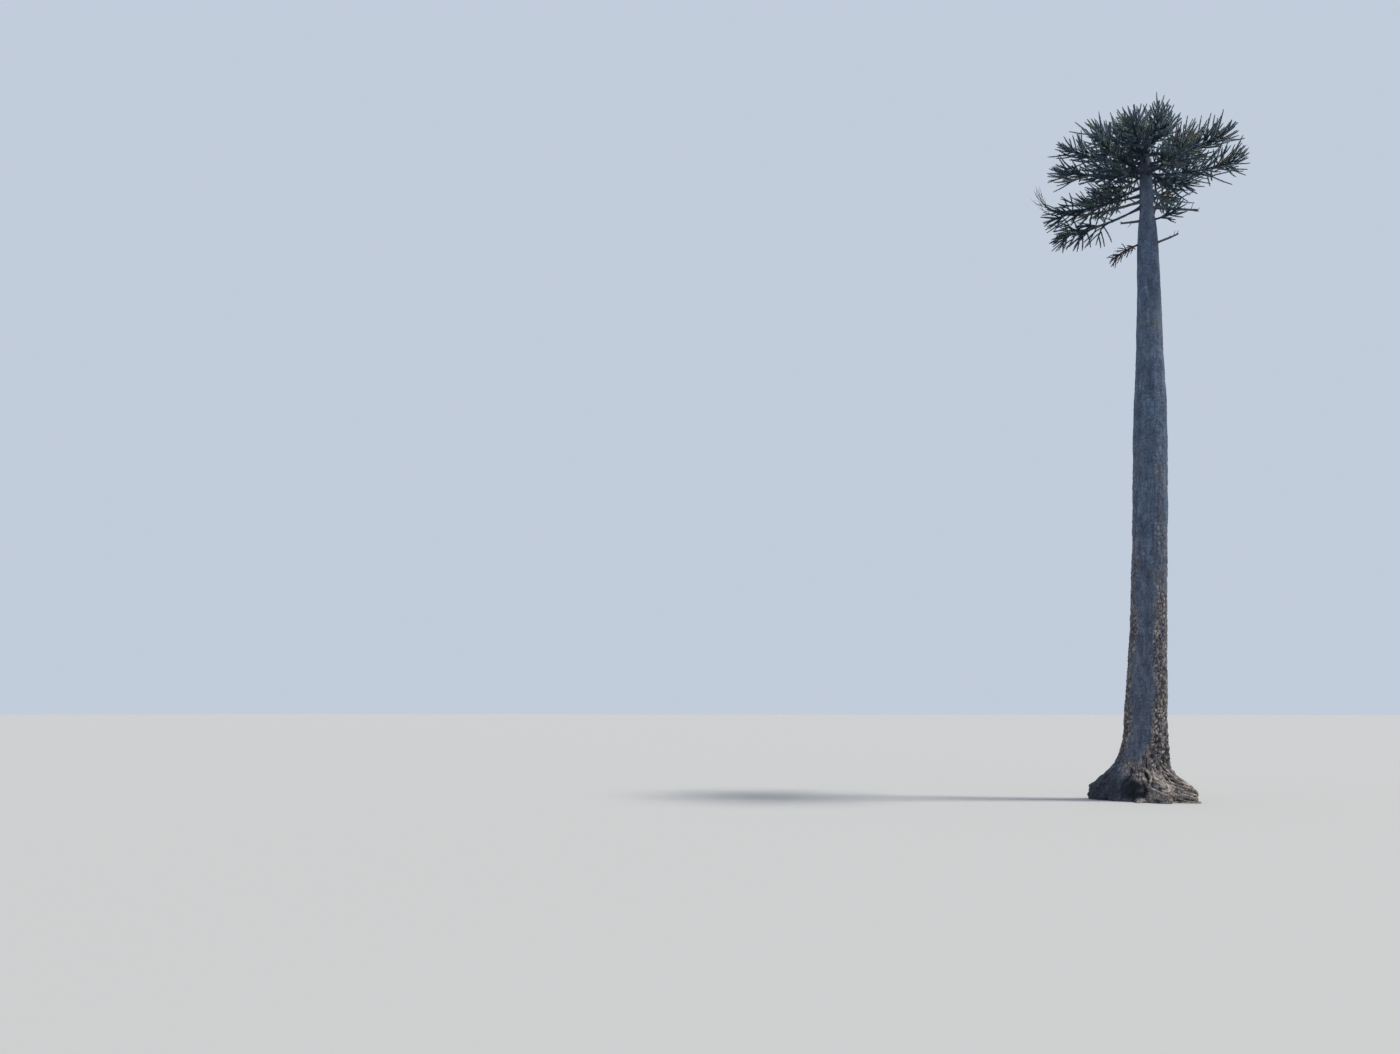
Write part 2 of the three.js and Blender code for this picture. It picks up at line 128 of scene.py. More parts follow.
# Limbs: where they run, by the same rule as the frame. Angles are in degrees.
limbRule = {
    "steps": 12,
    "curl": 1.4,
    "radius": 0.044,
    "referenceReach": 2.0,
    "stemRadius": 0.024,
    "stemTipRadius": 0.014,
    "rootedIn": 0.03,  # how deep its wood starts in the trunk
    "bareShare": 0.26,
    "leastBare": 0.12,
    "whorlSeed": 1000,
    "limbSeed": 7919,
    "turnJitter": 6,
    "heightJitter": 0.08,
    "reachJitter": 0.05,
    "frontBearing": 310,
    "frontDrop": 21,
    # name, height, count, first bearing, reach, rise, tip rise, lift, sprays
    "whorls": [
        ("crown_top", 16.04, 3, 84, 0.64, 24, 48, 0.5, 8),
        ("upper", 15.9, 4, 20, 1.2, 18, 36, 0.5, 9),
        ("high", 15.64, 5, 334, 1.74, 12, 30, 0.5, 11),
        ("middle", 15.36, 6, 0, 1.92, 4, 24, 0.45, 11),
        ("wide", 15.23, 2, 34, 1.18, -2, 12, 0.25, 10),
    ],
    # name, height, bearing, reach, rise, tip rise, lift, sprays
    "lowBoughs": [
        ("low_left", 14.8, 180, 2.04, -4, -8, 0.05, 11),
        ("hanging_left", 14.54, 189, 2.04, -26, -6, -0.4, 11),
        ("rear", 15.06, 146, 1.64, -3, 8, 0.25, 10),
        ("low_back", 15.06, 66, 1.3, -1, 6, 0.1, 9),
        ("low_right", 14.08, 350, 0.64, 4, 10, 0.15, 5),
    ],
    "withered": {
        "name": "withered_left", "height": 13.56, "bearing": 198, "reach": 0.9, "rise": -18,
        "tipRise": -38, "lift": -0.4, "sprays": 7, "radius": 0.026, "size": 0.55,
    },
    "dead": {
        "name": "dead_left", "height": 14.66, "bearing": 165, "reach": 2.9, "rise": -2,
        "tipRise": 62, "curl": 2.4, "radius": 0.034,
        # where its thick wood ends
        "woodEnd": 0.9, "tip": 0.024,
    },
    # name, height, bearing, reach, rise, tip rise, radius, tip radius
    "stubs": [
        ("stub_right_long", 14.46, 3, 1.18, -13, -13, 0.034, 0.026),
        ("stub_right_low", 13.45, 346, 0.72, 5, 14, 0.032, 0.02),
        ("stub_left", 14.11, 183, 0.6, 2, 2, 0.032, 0.025),
    ],
    "leader": {
        "name": "leader", "reach": 0.33, "lift": 0.5, "sprays": 6, "size": 0.75, "spraysFrom": 0.2,
    },
}


def limbPath(limb):
    steps = limbRule["steps"]
    path = [trunkMiddle(limb["height"])]
    bearing = radians(limb["bearing"])
    for i in range(steps):
        share = ((i + 0.5) / steps) ** limb.get("curl", limbRule["curl"])
        slope = radians(mix(limb["rise"], limb["tipRise"], share))
        level = cos(slope)
        step = Vector((cos(bearing) * level, sin(bearing) * level, sin(slope)))
        path.append(path[-1] + step * limb["reach"] / steps)
    return path


def alongPath(path, share):
    place = min(max(share, 0), 1) * (len(path) - 1)
    i = min(int(place), len(path) - 2)
    return path[i].lerp(path[i + 1], place - i)


def pathLength(path):
    return sum((b - a).length for a, b in zip(path, path[1:]))


def partOf(path, start, end, steps):
    return [alongPath(path, mix(start, end, i / steps)) for i in range(steps + 1)]


# a point of a path, the direction there, a level one to the side and the one square to both
def frameAt(path, share):
    half = 0.5 / (len(path) - 1)
    tangent = (alongPath(path, share + half) - alongPath(path, share - half)).normalized()
    side = up.cross(tangent)
    side = side.normalized() if side.length >= 0.05 else Vector((1, 0, 0))
    return alongPath(path, share), tangent, side, tangent.cross(side)


# the share of a limb's reach that lies in the trunk
def shareInTrunk(limb):
    return (trunkRadius(limb["height"]) - limbRule["rootedIn"]) / limb["reach"]


def whorlBoughs(index, whorl):
    name, height, count, turn, reach, rise, tipRise, lift, sprays = whorl
    draw = seeded(limbRule["whorlSeed"] + index)
    boughs = []
    for i in range(count):
        bearing = turn + 360 * i / count + either(draw, limbRule["turnJitter"])
        facing = max(0, cos(radians(bearing - limbRule["frontBearing"])))
        drop = limbRule["frontDrop"] * facing
        boughs.append({
            "name": f"{name}_{i + 1}", "level": name, "bearing": bearing,
            "lift": lift, "sprays": sprays,
            "height": height + either(draw, limbRule["heightJitter"]),
            "reach": reach * (1 + either(draw, limbRule["reachJitter"])),
            "rise": rise - drop, "tipRise": tipRise - drop,
        })
    return boughs


def allLimbs():
    keys = ("name", "height", "bearing", "reach", "rise", "tipRise", "lift", "sprays")
    grown = [bough for i, whorl in enumerate(limbRule["whorls"]) for bough in whorlBoughs(i, whorl)]
    grown += [{**dict(zip(keys, low)), "level": "low"} for low in limbRule["lowBoughs"]]
    for limb in grown:
        radius = limbRule["radius"] * math.sqrt(limb["reach"] / limbRule["referenceReach"])
        limb.update(kind="living", size=1, radius=radius)
    grown.append({**limbRule["withered"], "kind": "withered", "level": "withered"})
    grown.append({**limbRule["dead"], "kind": "dead"})
    keys = ("name", "height", "bearing", "reach", "rise", "tipRise", "radius", "tip")
    grown += [{**dict(zip(keys, stub)), "kind": "stub"} for stub in limbRule["stubs"]]
    for limb in grown:
        least = (trunkRadius(limb["height"]) + limbRule["leastBare"]) / limb["reach"]
        limb.update(path=limbPath(limb), bare=max(limbRule["bareShare"], least))
    foot = trunkMiddle(trunk["top"])
    steps = limbRule["steps"]
    path = [foot + up * limbRule["leader"]["reach"] * i / steps for i in range(steps + 1)]
    leader = {"kind": "leader", "level": "crown_top", "path": path, "bare": 0}
    grown.append({**limbRule["leader"], **leader})
    for i, limb in enumerate(grown):
        limb.update(index=i, seed=limbRule["limbSeed"] * (i + 1))
    return grown


limbs = allLimbs()
boughs = [limb for limb in limbs if limb["kind"] in ("living", "withered")]
leafy = [limb for limb in limbs if limb["kind"] in ("living", "withered", "leader")]
leafless = [limb for limb in limbs if limb["kind"] in ("dead", "stub")]
pathStarts = np.array([[p[:] for p in limb["path"][:-1]] for limb in limbs])
pathSteps = np.array([[p[:] for p in limb["path"][1:]] for limb in limbs]) - pathStarts

# Sprays: where they stand on the limbs, by the same rule as the frame
sprayRule = {
    "length": 0.44,
    "tipLength": 0.56,
    "lengthJitter": 0.15,
    "steps": 4,
    "rolls": (-12, 192, 82),
    "rollJitter": 26,
    "spread": 62,
    "tipSpread": 40,
    "spreadJitter": 9,
    "twistJitter": 40,
    "tries": 6,
    "shrink": 0.4,
    "spaceGap": 0.104,
    "trunkClearance": 0.066,
}


# a mass keeps to the space nearer to its own limb than to any other, and clear of the trunk
def inOwnSpace(point, limb, gap=sprayRule["spaceGap"]):
    if point.z < trunk["top"]:
        away = (point - trunkMiddle(point.z)).length
        if away < trunkRadius(point.z) + sprayRule["trunkClearance"]:
            return False
    offset = np.array(point) - pathStarts
    t = np.clip((offset * pathSteps).sum(2) / (pathSteps**2).sum(2), 0, 1)
    distances = np.sqrt(((offset - pathSteps * t[..., None]) ** 2).sum(2)).min(1)
    own = distances[limb["index"]]
    distances[limb["index"]] = np.inf
    return distances.min() > own + gap


def grownPath(start, heading, length, limb, bend=None, gap=sprayRule["spaceGap"]):
    path = [start]
    direction = heading.copy()
    for _ in range(sprayRule["steps"]):
        direction = (direction + (bend or up * limb["lift"]) / sprayRule["steps"]).normalized()
        path.append(path[-1] + direction * length / sprayRule["steps"])
        if not inOwnSpace(path[-1], limb, gap):
            return None
    return path


def placedSpray(start, roll, spread, length, limb, draw):
    point, tangent, side, over = start
    for i in range(sprayRule["tries"]):
        angle = radians(spread + either(draw, sprayRule["spreadJitter"]))
        turn = radians(roll + either(draw, sprayRule["rollJitter"]))
        heading = swung(tangent, swung(side, over, turn), angle)
        size = length * (1 + either(draw, sprayRule["lengthJitter"]))
        size *= 1 - sprayRule["shrink"] * i / sprayRule["tries"]
        path = grownPath(point, heading, size, limb)
        if path:
            twist = radians(either(draw, sprayRule["twistJitter"]))
            across = Quaternion(heading, twist) @ over.cross(heading).normalized()
            return {"path": path, "across": across, "length": size}
    return None


def spraysOf(limb):
    draw = seeded(limb["seed"])
    sprays = []
    for i in range(limb["sprays"]):
        share = (i + 0.5) / limb["sprays"]
        start = frameAt(limb["path"], mix(limb.get("spraysFrom", limb["bare"]), 1, share))
        length = limb["size"] * mix(sprayRule["length"], sprayRule["tipLength"], share)
        roll = sprayRule["rolls"][i % len(sprayRule["rolls"])]
        spread = mix(sprayRule["spread"], sprayRule["tipSpread"], share)
        sprays.append((share, placedSpray(start, roll, spread, length, limb, draw)))
    end = frameAt(limb["path"], 1)
    sprays.append((1, placedSpray(end, 0, 0, limb["size"] * sprayRule["length"], limb, draw)))
    return [{**spray, "share": share} for share, spray in sprays if spray]


# Materials
def newMaterial(name, color, roughness, specular=0.4):
    material = bpy.data.materials.new(name)
    material.use_nodes = True
    shader = material.node_tree.nodes["Principled BSDF"]
    shader.inputs["Base Color"].default_value = (*color, 1)
    shader.inputs["Roughness"].default_value = roughness
    shader.inputs["Specular IOR Level"].default_value = specular
    return material, shader


class Nodes:
    def __init__(self, material):
        self.tree = material.node_tree
        self.coordinates = self.add("ShaderNodeTexCoord").outputs["Object"]

    def link(self, output, socket):
        self.tree.links.new(output, socket)

    # sockets are linked to an output or set to a value
    def add(self, kind, sockets=None, **settings):
        node = self.tree.nodes.new(kind)
        for key, value in settings.items():
            setattr(node, key, value)
        for key, value in (sockets or {}).items():
            if isinstance(value, bpy.types.NodeSocket):
                self.link(value, node.inputs[key])
            else:
                node.inputs[key].default_value = value
        return node

    def scaled(self, scale):
        sockets = {"Scale": scale, "Vector": self.coordinates}
        return self.add("ShaderNodeMapping", sockets).outputs["Vector"]

    def noise(self, scale, detail, roughness=0.6, stretch=(1, 1, 1)):
        sockets = {"Scale": scale, "Detail": detail, "Roughness": roughness}
        sockets["Vector"] = self.scaled(stretch)
        return self.add("ShaderNodeTexNoise", sockets).outputs["Fac"]

    # cells with cracks between them, bent by a noise
    def cracks(self, scale, stretch=(1, 1, 1), bend=0):
        sockets = {"Scale": scale * 0.6, "Detail": 4, "Vector": self.coordinates}
        wander = self.add("ShaderNodeTexNoise", sockets).outputs["Color"]
        sockets = {"Scale": bend / scale, 0: wander}
        shift = self.add("ShaderNodeVectorMath", sockets, operation="SCALE").outputs[0]
        sockets = {0: self.scaled(stretch), 1: shift}
        place = self.add("ShaderNodeVectorMath", sockets, operation="ADD").outputs[0]
        sockets = {"Scale": scale, "Vector": place}
        node = self.add("ShaderNodeTexVoronoi", sockets, feature="DISTANCE_TO_EDGE")
        return node.outputs["Distance"]

    def attribute(self, name):
        return self.add("ShaderNodeAttribute", attribute_name=name).outputs["Fac"]

    def ramp(self, factor, stops):
        node = self.add("ShaderNodeValToRGB", {"Fac": factor})
        elements = node.color_ramp.elements
        while len(elements) < len(stops):
            elements.new(0.5)
        for element, (position, color) in zip(elements, stops):
            element.position = position
            element.color = (*color, 1) if isinstance(color, tuple) else (color, color, color, 1)
        return node.outputs["Color"]

    def blend(self, factor, a, b, kind="MIX"):
        a, b = [(*color, 1) if isinstance(color, tuple) else color for color in (a, b)]
        sockets = {0: factor, 6: a, 7: b}
        return self.add("ShaderNodeMix", sockets, data_type="RGBA", blend_type=kind).outputs[2]

    # each bump on top of the one before
    def bump(self, heights, shader):
        sockets = {}
        for height, strength, distance in heights:
            sockets.update(Height=height, Strength=strength, Distance=distance)
            sockets["Normal"] = self.add("ShaderNodeBump", sockets).outputs["Normal"]
        self.link(sockets["Normal"], shader.inputs["Normal"])


# the bark's greys are tinted blue, partly painted shade: the blue of bark in shade under a hazy sky
barkLook = {
    # near black, for the cracks and for painted shade
    "shadeAndGrooves": (0.022, 0.022, 0.028),
    "dark": (0.053, 0.075, 0.12),
    "middle": (0.112, 0.158, 0.242),
    "light": (0.208, 0.275, 0.37),
    # the chips' tan, partly painted sunlight
    "chipsAndSun": (0.56, 0.485, 0.44),
    "chipDark": (0.17, 0.14, 0.13),
    "highChip": (0.28, 0.33, 0.43),
    "highChipDark": (0.13, 0.15, 0.2),
    "lichen": (0.19, 0.2, 0.17),
    "lowTint": (1.12, 1.0, 0.9),
    # how fine each layer is, in repeats a metre
    "patches": 1.1,
    "rings": 5,
    "mottle": 7,
    "pits": 17,
    "scales": 24,
    "grain": 80,
}
# the boughs' bark is finer and less warm, and darkened with painted shade, as they stand in the crown's
# shade
boughLook = {"scale": 2.2, "warmth": 0.3, "shade": (0.52, 0.58, 0.7)}


def barkMaterial(name="bark", scale=1, warmth=1, shade=(1, 1, 1)):
    look = barkLook
    material, shader = newMaterial(name, look["middle"], 0.92, 0.25)
    nodes = Nodes(material)
    patches = nodes.noise(look["patches"] * scale, 5)
    mottle = nodes.noise(look["mottle"] * scale, 8, 0.7, (1, 1, 0.4))
    scales = nodes.cracks(look["scales"] * scale, (1, 1, 0.55), 0.9)
    pits = nodes.cracks(look["pits"] * scale, (1, 1, 0.7), 1.3)
    grain = nodes.noise(look["grain"] * scale, 6, 0.7, (1, 1, 0.4))
    rings = nodes.noise(look["rings"] * scale, 9, 0.75, (1.4, 1.4, 6))
    tone = nodes.ramp(mottle, [(0.3, look["dark"]), (0.52, look["middle"]), (0.76, look["light"])])
    tone = nodes.blend(nodes.ramp(rings, [(0.5, 0), (0.62, 0.75)]), tone, look["dark"])
    tone = nodes.blend(nodes.ramp(scales, [(0.0, 0.62), (0.09, 0)]), tone, look["shadeAndGrooves"])
    tone = nodes.blend(nodes.ramp(patches, [(0.54, 0), (0.74, 0.35)]), tone, look["lichen"])

    # browner low down, and chips that are tan there and grey higher up; they are pale on the sunlit
    # side as partly painted sunlight
    lowTone = nodes.blend(1.0, tone, look["lowTint"], "MULTIPLY")
    tone = nodes.blend(nodes.attribute("height"), lowTone, tone)
    chipsAndSun = nodes.ramp(nodes.attribute("chipsAndSun"), [(0.3, 0), (0.85, 0.85 * warmth)])
    chip = nodes.ramp(mottle, [(0.36, look["chipDark"]), (0.56, look["chipsAndSun"])])
    highChip = nodes.ramp(mottle, [(0.36, look["highChipDark"]), (0.56, look["highChip"])])
    chip = nodes.blend(nodes.attribute("height"), chip, highChip)
    tone = nodes.blend(chipsAndSun, tone, chip)

    # dark cracks between the chips, and painted shade in the grooves, the hollow, the shaded side of
    # the foot and among the boughs
    edges = nodes.ramp(pits, [(0.0, 1), (0.1, 0.55), (0.2, 0)])
    tone = nodes.blend(nodes.blend(1.0, edges, chipsAndSun, "MULTIPLY"), tone, look["shadeAndGrooves"])
    shadeAndGroovesMask = nodes.ramp(nodes.attribute("shadeAndGrooves"), [(0.1, 0), (0.9, 0.92)])
    tone = nodes.blend(shadeAndGroovesMask, tone, look["shadeAndGrooves"])
    tone = nodes.blend(0.5, tone, nodes.ramp(grain, [(0.3, 0.6), (0.7, 1.3)]), "MULTIPLY")
    # the whole colour darkened by shade: painted shade on the boughs, none on the trunk
    nodes.link(nodes.blend(1.0, tone, shade, "MULTIPLY"), shader.inputs["Base Color"])
    heights = [(scales, 0.5, 0.02), (pits, 0.4, 0.02), (mottle, 0.5, 0.03), (grain, 0.6, 0.012)]
    nodes.bump(heights, shader)
    return material


# tan roots, brightened as painted sunlight; the palest tone is partly dust, partly painted sunlight
rootLook = {"dark": (0.07, 0.058, 0.052), "light": (0.48, 0.415, 0.36), "dustAndSun": (0.6, 0.53, 0.465)}


def rootMaterial():
    material, shader = newMaterial("rootBark", rootLook["light"], 0.92, 0.2)
    nodes = Nodes(material)
    mottle = nodes.noise(16, 8, 0.72)
    flakes = nodes.cracks(38, (1, 1, 1), 1.6)
    grain = nodes.noise(95, 6, 0.75)
    stops = [(0.34, rootLook["dark"]), (0.5, rootLook["light"]), (0.72, rootLook["dustAndSun"])]
    tone = nodes.ramp(mottle, stops)
    tone = nodes.blend(nodes.ramp(flakes, [(0.0, 0.8), (0.12, 0)]), tone, rootLook["dark"])
    # painted shadow in the hollow, with darker grooves at random
    shadeAndGroovesMask = nodes.ramp(nodes.attribute("shadeAndGrooves"), [(0.1, 0), (0.9, 0.9)])
    tone = nodes.blend(shadeAndGroovesMask, tone, barkLook["shadeAndGrooves"])
    tone = nodes.blend(0.5, tone, nodes.ramp(grain, [(0.3, 0.6), (0.7, 1.25)]), "MULTIPLY")
    nodes.link(tone, shader.inputs["Base Color"])
    nodes.bump([(flakes, 0.6, 0.014), (mottle, 0.5, 0.03), (grain, 0.5, 0.008)], shader)
    return material


# dark blue-grey: the dead wood is darkened and tinted blue as painted shade, as it stands in the
# crown's shade
deadLook = {"dark": (0.045, 0.048, 0.06), "light": (0.115, 0.115, 0.13)}


def deadwoodMaterial():
    material, shader = newMaterial("deadwood", deadLook["light"], 0.88, 0.2)
    nodes = Nodes(material)
    streaks = nodes.noise(26, 7, 0.7, (0.4, 1, 1))
    patches = nodes.noise(5, 4)
    tone = nodes.ramp(streaks, [(0.32, deadLook["dark"]), (0.66, deadLook["light"])])
    tone = nodes.blend(nodes.ramp(patches, [(0.5, 0), (0.7, 0.5)]), tone, barkLook["lichen"])
    nodes.link(tone, shader.inputs["Base Color"])
    nodes.bump([(streaks, 0.6, 0.012), (nodes.noise(110, 4), 0.3, 0.004)], shader)
    return material


twigLook = {"dark": (0.03, 0.04, 0.04), "light": (0.08, 0.105, 0.095)}


def twigMaterial():
    material, shader = newMaterial("twigBark", twigLook["light"], 0.85, 0.25)
    nodes = Nodes(material)
    flakes = nodes.noise(60, 5)
    tone = nodes.ramp(flakes, [(0.35, twigLook["dark"]), (0.65, twigLook["light"])])
    nodes.link(tone, shader.inputs["Base Color"])
    nodes.bump([(flakes, 0.5, 0.006)], shader)
    return material


# plain colours for the leaves, dealt out by spray; their blue is partly painted shade, and the shade
# tint is painted shade
tints = {
    "shade": (0.032, 0.075, 0.124),
    "green": (0.055, 0.117, 0.17),
    "grey": (0.125, 0.2, 0.275),
    "olive": (0.125, 0.198, 0.165),
    "pale": (0.23, 0.31, 0.265),
    "tan": (0.19, 0.16, 0.168),
    "rust": (0.132, 0.08, 0.088),
}
# how often each comes up: at the top, in the crown, on its low boughs and on the withered bough; the
# top takes more grey and pale as painted sunlight, the crown more shade as painted shade
tintShares = {
    "top": (0.08, 0.26, 0.36, 0.14, 0.12, 0.04, 0),
    "crown": (0.26, 0.34, 0.22, 0.09, 0.05, 0.04, 0),
    "low": (0.26, 0.34, 0.16, 0.1, 0.04, 0.06, 0.04),
    "withered": (0, 0, 0, 0.05, 0, 0.3, 0.65),
}
# the levels that don't take the crown's
tintsOf = {"crown_top": "top", "upper": "top", "low": "low", "wide": "low", "withered": "withered"}
leafMaterials = [newMaterial(f"leaf_{name}", color, 0.5, 0.45)[0] for name, color in tints.items()]
bark = barkMaterial()
boughBark = barkMaterial("boughBark", **boughLook)
rootBark = rootMaterial()
deadwood = deadwoodMaterial()
twigBark = twigMaterial()
print("materials made")


def addObject(name, data):
    added = bpy.data.objects.new(name, data)
    bpy.context.scene.collection.objects.link(added)
    return added


# Meshes: rings of points joined into tubes, each mesh a dictionary of points, faces and extra values
def newMesh():
    return {"points": [], "faces": [], "shadeAndGrooves": [], "chipsAndSun": [], "height": []}


def tubeRings(path, radii, sides, ringLength, relief=None):
    count = max(int(pathLength(path) / ringLength), 2) + 1
    rings = []
    for i in range(count):
        share = i / (count - 1)
        point, tangent, side, over = frameAt(path, share)
        radius = float(np.interp(share, np.linspace(0, 1, len(radii)), radii))
        ring = []
        for j in range(sides):
            angle = 2 * math.pi * j / sides
            out = swung(side, over, angle)
            ring.append(point + out * (radius + (relief(point, out, share, radius) if relief else 0)))
        rings.append(ring)
    return rings


def addTube(mesh, rings):
    sides = len(rings[0])
    first = len(mesh["points"])
    for ring in rings:
        mesh["points"].extend(ring)
    for start in range(first, first + (len(rings) - 1) * sides, sides):
        for j in range(sides):
            a, b = start + j, start + (j + 1) % sides
            mesh["faces"].append((a, b, b + sides, a + sides))
    last = first + (len(rings) - 1) * sides
    mesh["faces"].append(tuple(first + j for j in reversed(range(sides))))
    mesh["faces"].append(tuple(last + j for j in range(sides)))


def placePiece(name, data, materials, nodes):
    for material in materials:
        data.materials.append(material)
    piece = addObject(name, data)
    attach(piece, "root")
    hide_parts(*nodes)
    data.calc_loop_triangles()
    print(name, len(data.loop_triangles), "triangles")
    return piece


def meshPiece(name, mesh, material, nodes):
    data = bpy.data.meshes.new(name)
    data.from_pydata([p[:] for p in mesh["points"]], [], mesh["faces"])
    data.polygons.foreach_set("use_smooth", [True] * len(data.polygons))
    for key in ("shadeAndGrooves", "chipsAndSun", "height"):
        if mesh[key]:
            data.attributes.new(key, "FLOAT", "POINT").data.foreach_set("value", mesh[key])
    return placePiece(name, data, [material], nodes)


# Trunk with its bark's relief
barkRule = {
    "columns": 160,
    "step": 0.035,
    # the rings stand closer under this height
    "footTop": 1.2,
    "footStep": 0.02,
    "chipWide": 0.1,
    "chipHigh": 0.09,
    "chipDepth": 0.018,
    # chips gather on the sunlit side, where their pale colour is partly painted sunlight
    "chipSide": 352,
    # how far a place has to face that side, or the far one, for chips to set in
    "chipsFrom": (0.2, 0.62),
    "farChipsFrom": (0.3, 0.75),
    "farChips": 0.95,
    "leastChips": 0.12,
    # heights between which the chips fade out, and what is left of them
    "chipsFade": (4, 10.5),
    "highChips": 0.15,
    # heights between which the chips turn from tan to pale grey
    "tanTo": (1.2, 9),
    "flake": 0.006,
    "fissureDepth": 0.007,
    "ringDepth": 0.005,
    # repeats a metre across and upwards, and how narrow the lines are
    "fissures": (11, 2.4, 5),
    "rings": (4, 10, 6),
    "swell": 0.02,
    # painted shade of the crown: how much darker it is among the boughs, and between which heights that
    # sets in
    "topShade": 0.42,
    "shadeFrom": (14.3, 15.4),
    # heights between which the relief fades
    "reliefFade": (9, 15.5),
    # fibrous ridges that widen into roots: their top on the shaded and the sunny side
    "rootTop": (1.2, 1.75),
    "rootTopSide": 345,
    "sunSide": 340,
    "rootDepth": 0.1,
    "rootFade": 0.62,
    "ledge": 0.022,
    "ledgesPerMetre": 7,
    # a hollow beside the left buttress, darkened with painted shadow: bearing, height, half width in
    # degrees, half height, depth
    "hollow": (249, 0.24, 41, 0.31, 0.2),
}


# 1 in the middle of the hollow, 0 outside it
def hollowAt(z, bearing):
    turn, height, halfWide, halfHigh, _ = barkRule["hollow"]
    across = ((math.degrees(bearing) - turn + 180) % 360 - 180) / halfWide
    return smooth(1, 0.35, math.hypot(across, (z - height) / halfHigh))


# the way out from the trunk's middle, the place there without the flare, and how much bands waver
def barkPlace(z, bearing):
    out = levelWay(bearing)
    around = out * trunkRadius(z)
    return out, around, noise.noise(around * 3 + up * z * 2) * 0.35


def stretched(around, wide, high):
    return Vector((around.x * wide, around.y * wide, high))


# 1 along thin lines, 0 between them
def linesAt(z, around, warp, lines):
    wide, high, narrow = lines
    return 1 - min(abs(noise.noise(stretched(around, wide, z * high + warp * 3))) * narrow, 1)


# how much of the bark is chips, from 0 to 1; they are most on the sunlit side, where their pale colour
# is partly painted sunlight
def chipsAt(z, bearing, around):
    rule = barkRule
    facing = cos(bearing - radians(rule["chipSide"]))
    facing += 0.35 * noise.noise(around * 2 + up * z * 0.8)
    sunny = smooth(*rule["chipsFrom"], facing)
    far = rule["farChips"] * smooth(*rule["farChipsFrom"], -facing)
    drift = 2.5 * noise.noise(around * 2.5 + up * z * 0.9)
    left = mix(1, rule["highChips"], smooth(*rule["chipsFade"], z + drift))
    return max(sunny, far, rule["leastChips"]) * left


# the relief, the painted shade of the grooves and the share of the chips' colour, partly painted
# sunlight
# chips at both edges, long fissures and thin ring lines between them
def barkRelief(z, bearing, radius):
    rule = barkRule
    _, around, warp = barkPlace(z, bearing)
    chipped = chipsAt(z, bearing, around)
    wide, high = rule["chipWide"], rule["chipHigh"]
    cell = Vector((around.x / wide, around.y / wide, z / high + warp))
    distances, centres = noise.voronoi(cell)
    seam = chipped * (1 - smooth(0.04, 0.3, distances[1] - distances[0]))
    flake = chipped * noise.noise(centres[0] * 2.7)
    fissure = linesAt(z, around, warp, rule["fissures"])
    ring = linesAt(z, around, warp, rule["rings"])
    swell = noise.fractal(stretched(around, 2.2, z * 1.1), 0.8, 2.1, 4)
    age = mix(1, 0.4, smooth(*rule["reliefFade"], z))
    relief = rule["flake"] * flake - rule["chipDepth"] * seam
    relief = relief - rule["fissureDepth"] * fissure - rule["ringDepth"] * ring
    relief = age * relief + min(radius, 0.5) * rule["swell"] * 2 * swell

    # the seams' painted shade is lighter at the foot and high up
    seam *= mix(1, 0.45, smooth(1.0, 0.6, z))
    seamShade = seam * mix(1, 0.55, smooth(*rule["tanTo"], z))
    shadeAndGrooves = max(seamShade, 0.5 * fissure, 0.35 * ring) * mix(0.5, 1, age)
    chipsAndSun = chipped * (0.75 + 0.6 * noise.noise(centres[0] * 1.9))
    chipsAndSun += 0.2 * noise.noise(around * 6 + up * z * 5)
    return relief, shadeAndGrooves, chipsAndSun


# the same at the foot: ridges at the left, darkened with painted shade, and fibres over them and on the
# sunny side, paled with painted sunlight
def footRelief(z, bearing, relief, shadeAndGrooves, chipsAndSun):
    rule = barkRule
    out, around, warp = barkPlace(z, bearing)
    over = smooth(0.45, 0.75, z)
    sunnyFrom, sunnyTo = mix(-0.55, -0.8, over), mix(0.1, -0.3, over)
    sunny = smooth(sunnyFrom, sunnyTo, cos(bearing - radians(rule["sunSide"])))
    facing = cos(bearing - radians(rule["rootTopSide"]))
    top = mix(*rule["rootTop"], smooth(-0.1, 0.7, facing))
    low = smooth(top, top - rule["rootFade"], z)
    deep = smooth(1.1, 0.4, z)
    twist = bearing * 1.6 + 0.5 * noise.noise(stretched(out, 2, z * 2.2))
    ridge = noise.noise(Vector((cos(twist) * 9, sin(twist) * 9, z * 0.7)))
    fibre = noise.noise(stretched(around, 8, z * 13 + 2 * warp))
    ledge = (z * rule["ledgesPerMetre"] + 1.4 * noise.noise(around * 4 + up * z * 2)) % 1
    folds = mix(0.4, 1, deep) * ridge + mix(0.6, 0.4, deep) * sunny * fibre
    relief += low * rule["rootDepth"] * folds
    relief += low * sunny * mix(1, 0.3, deep) * rule["ledge"] * (0.5 - ledge)
    # painted shade between the ridges, under each ledge, and low down on the shaded side
    between = low * smooth(-0.05, -0.55, ridge + 0.5 * fibre)
    shadeUnderLedge = low * sunny * smooth(0.82, 1, ledge)
    shadeAndGrooves = max(shadeAndGrooves, between, shadeUnderLedge, 0.64 * low * deep * (1 - sunny))
    # on the sunny side the fibres take the chips' pale colour as painted sunlight
    chipsAndSun = mix(chipsAndSun, sunny * (0.8 + 0.9 * (ridge + fibre)), low)
    # the hollow is cut in, darkened with painted shadow and left without the chips' colour
    inside = hollowAt(z, bearing)
    return relief - rule["hollow"][-1] * inside, max(shadeAndGrooves, inside), chipsAndSun * (1 - inside)


